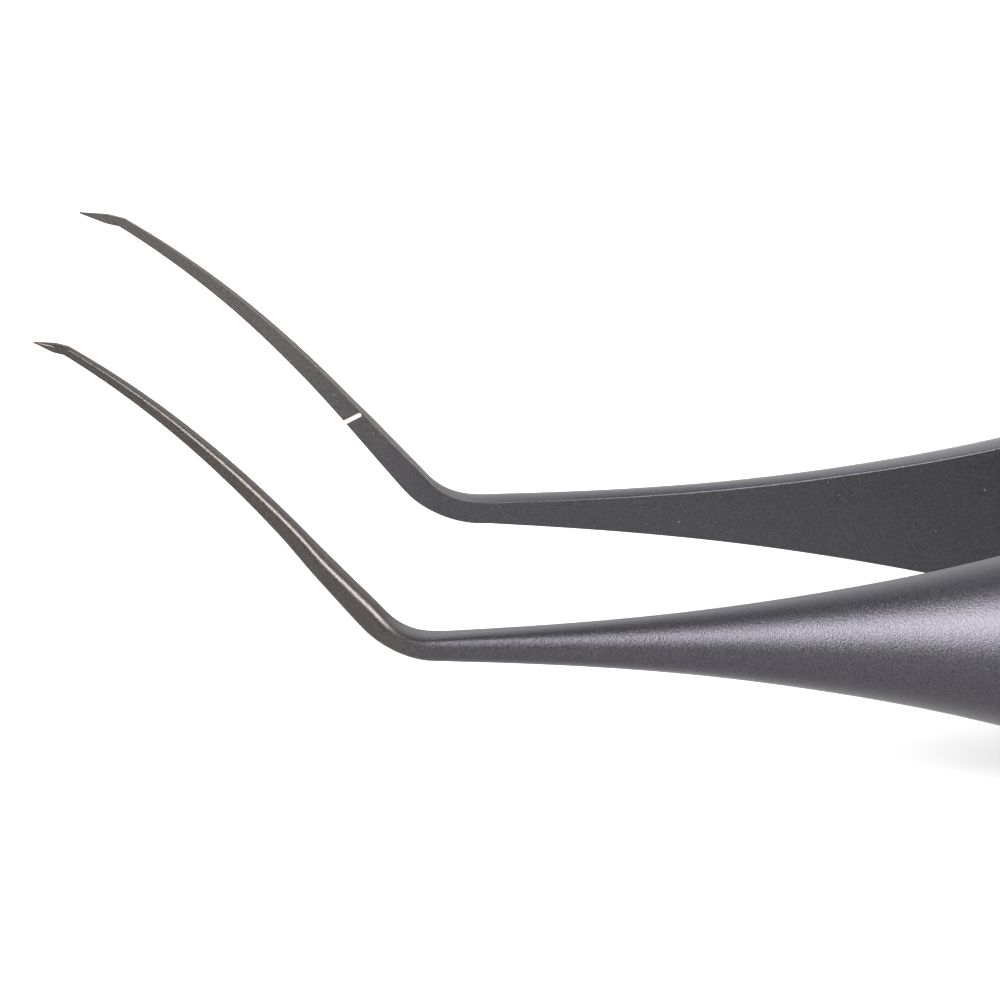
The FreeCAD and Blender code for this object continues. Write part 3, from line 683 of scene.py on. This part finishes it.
def make_leaf(side):
    """A leaf spring cut into short steps, so that it bends smoothly."""
    half_t, half_w, bevel = LEAF_THICKNESS / 2, LEAF_WIDTH / 2, LEAF_BEVEL
    loop = [
        (-half_t, -half_w + bevel),
        (-half_t, 0.0),
        (-half_t, half_w - bevel),
        (-half_t + bevel, half_w),
        (half_t - bevel, half_w),
        (half_t, half_w - bevel),
        (half_t, 0.0),
        (half_t, -half_w + bevel),
        (half_t - bevel, -half_w),
        (-half_t + bevel, -half_w),
    ]
    line = leaf_line()
    matrix = tail_matrix()
    points = []
    for x, y, angle in line:
        for across, height in loop:
            place = (x + across * math.sin(angle), side * (y + across * math.cos(angle)), height)
            points.append(matrix @ Vector(place))
    leaf = new_object(f"{LEAF_NAMES[side]}_look", points, skin(len(line), len(loop)), [LEAF_STEEL])
    fix_normals(leaf)
    leaf.data.set_sharp_from_angle(angle=LEAF_CREASE)
    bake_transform(leaf)
    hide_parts(LEAF_NAMES[side])


def dress_cad():
    """Materials and smooth shading for the CAD pieces that are shown as they are."""
    for name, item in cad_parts.items():
        if item.hide_render:
            continue
        steel = "rivet" in name or "pin" in name
        item.data.materials.clear()
        item.data.materials.append(PIN_STEEL if steel else OUTER)
        shade_smooth(item.data)
        item.data.set_sharp_from_angle(angle=CAD_CREASE)


for arm_side in (FAR, NEAR):
    make_arm(arm_side)
    make_leaf(arm_side)
dress_cad()


# ---------------------------------------------------------------- studio, in metres (the lens in mm)
CAMERA_FALL, CAMERA_TURN = math.radians(25), math.radians(9)  # looking down, and turned towards the tips
AIM_RIGHT, AIM_UP = math.radians(0.4323), math.radians(0.3943)
CAMERA_DISTANCE, CAMERA_NEAR = 0.235, 0.01
FOCUS_RISE = 0.267  # mm above the handle axis
FOCUS = Vector((-BEND_X, 0, AXIS_HEIGHT + FOCUS_RISE)) * MM
SENSOR_WIDTH, LENS = 36, 346.86
FLOOR_HALF = 2
FLOOR_DARK, FLOOR_LIGHT, FLOOR_NOISE, FLOOR_RANGE = 0.42, 0.44, 0.02, (0.3, 0.7)
LIGHT_TARGET = Vector((-0.03, 0, 0.005))
SOFTBOXES = (  # name, direction from the target, distance, (width, height), radiance, colour
    ("left", (-0.7, -0.52, 0.6), 0.5, (0.4, 0.4), 19.5, (0.99, 0.98, 0.99)),
    ("right", (0.85, -0.35, 0.4), 0.5, (0.4, 0.4), 23.5, (1.0, 0.97, 0.94)),
    ("back", (0.1, 0.8, 0.6), 0.7, (1.0, 0.7), 1.55, (1, 1, 1)),
)
WORLD_STRENGTH = 0.9


def make_floor():
    """Plain pale floor."""
    n = Nodes("floor")
    tone = n.noise(n.place(), FLOOR_NOISE, detail=2.0)
    colour = n.mix(n.spread(tone, *FLOOR_RANGE), (FLOOR_DARK,) * 3, (FLOOR_LIGHT,) * 3)
    material = n.finish(colour, metallic=0.0, roughness=0.9)
    corners = [(x * FLOOR_HALF, y * FLOOR_HALF, 0) for x, y in ((-1, -1), (1, -1), (1, 1), (-1, 1))]
    floor = new_object("floor", corners, [(0, 1, 2, 3)], [material])


def add_softbox(name, direction, distance, size, radiance, colour):
    """Rectangular area light aimed at the target near the tips."""
    width, height = size
    light = bpy.data.lights.new(name, "AREA")
    light.shape = "RECTANGLE"
    light.size, light.size_y = width, height
    light.energy = radiance * math.pi * width * height
    light.color = colour
    lamp = bpy.data.objects.new(name, light)
    away = Vector(direction).normalized()
    lamp.location = LIGHT_TARGET + away * distance
    lamp.rotation_euler = away.to_track_quat("Z", "Y").to_euler()
    bpy.context.scene.collection.objects.link(lamp)


def make_world():
    """Even soft surroundings."""
    world = bpy.data.worlds.new("studio")
    world.use_nodes = True
    background = world.node_tree.nodes["Background"]
    background.inputs["Color"].default_value = (1, 1, 1, 1)
    background.inputs["Strength"].default_value = WORLD_STRENGTH
    bpy.context.scene.world = world


def make_camera():
    """Close view of the bent shafts from the near side, from above and a little from the tail's side."""
    ahead = Vector((0.0, math.cos(CAMERA_FALL), -math.sin(CAMERA_FALL)))
    up = Vector((0.0, math.sin(CAMERA_FALL), math.cos(CAMERA_FALL)))
    along = Vector((1.0, 0.0, 0.0))
    forward = ahead * math.cos(CAMERA_TURN) - along * math.sin(CAMERA_TURN)
    right = along * math.cos(CAMERA_TURN) + ahead * math.sin(CAMERA_TURN)
    place = FOCUS - forward * CAMERA_DISTANCE
    aim = (forward + right * math.tan(AIM_RIGHT) + up * math.tan(AIM_UP)).normalized()
    side = (right - aim * right.dot(aim)).normalized()
    top = side.cross(aim)
    camera = bpy.data.cameras.new("camera")
    camera.sensor_width = SENSOR_WIDTH
    camera.lens = LENS
    camera.clip_start = CAMERA_NEAR
    item = bpy.data.objects.new("camera", camera)
    rotation = Matrix((side, top, -aim)).transposed().to_4x4()
    item.matrix_world = Matrix.Translation(place) @ rotation
    bpy.context.scene.collection.objects.link(item)
    bpy.context.scene.camera = item


make_floor()
make_world()
for softbox in SOFTBOXES:
    add_softbox(*softbox)
make_camera()
bpy.context.scene.view_settings.view_transform = "Standard"
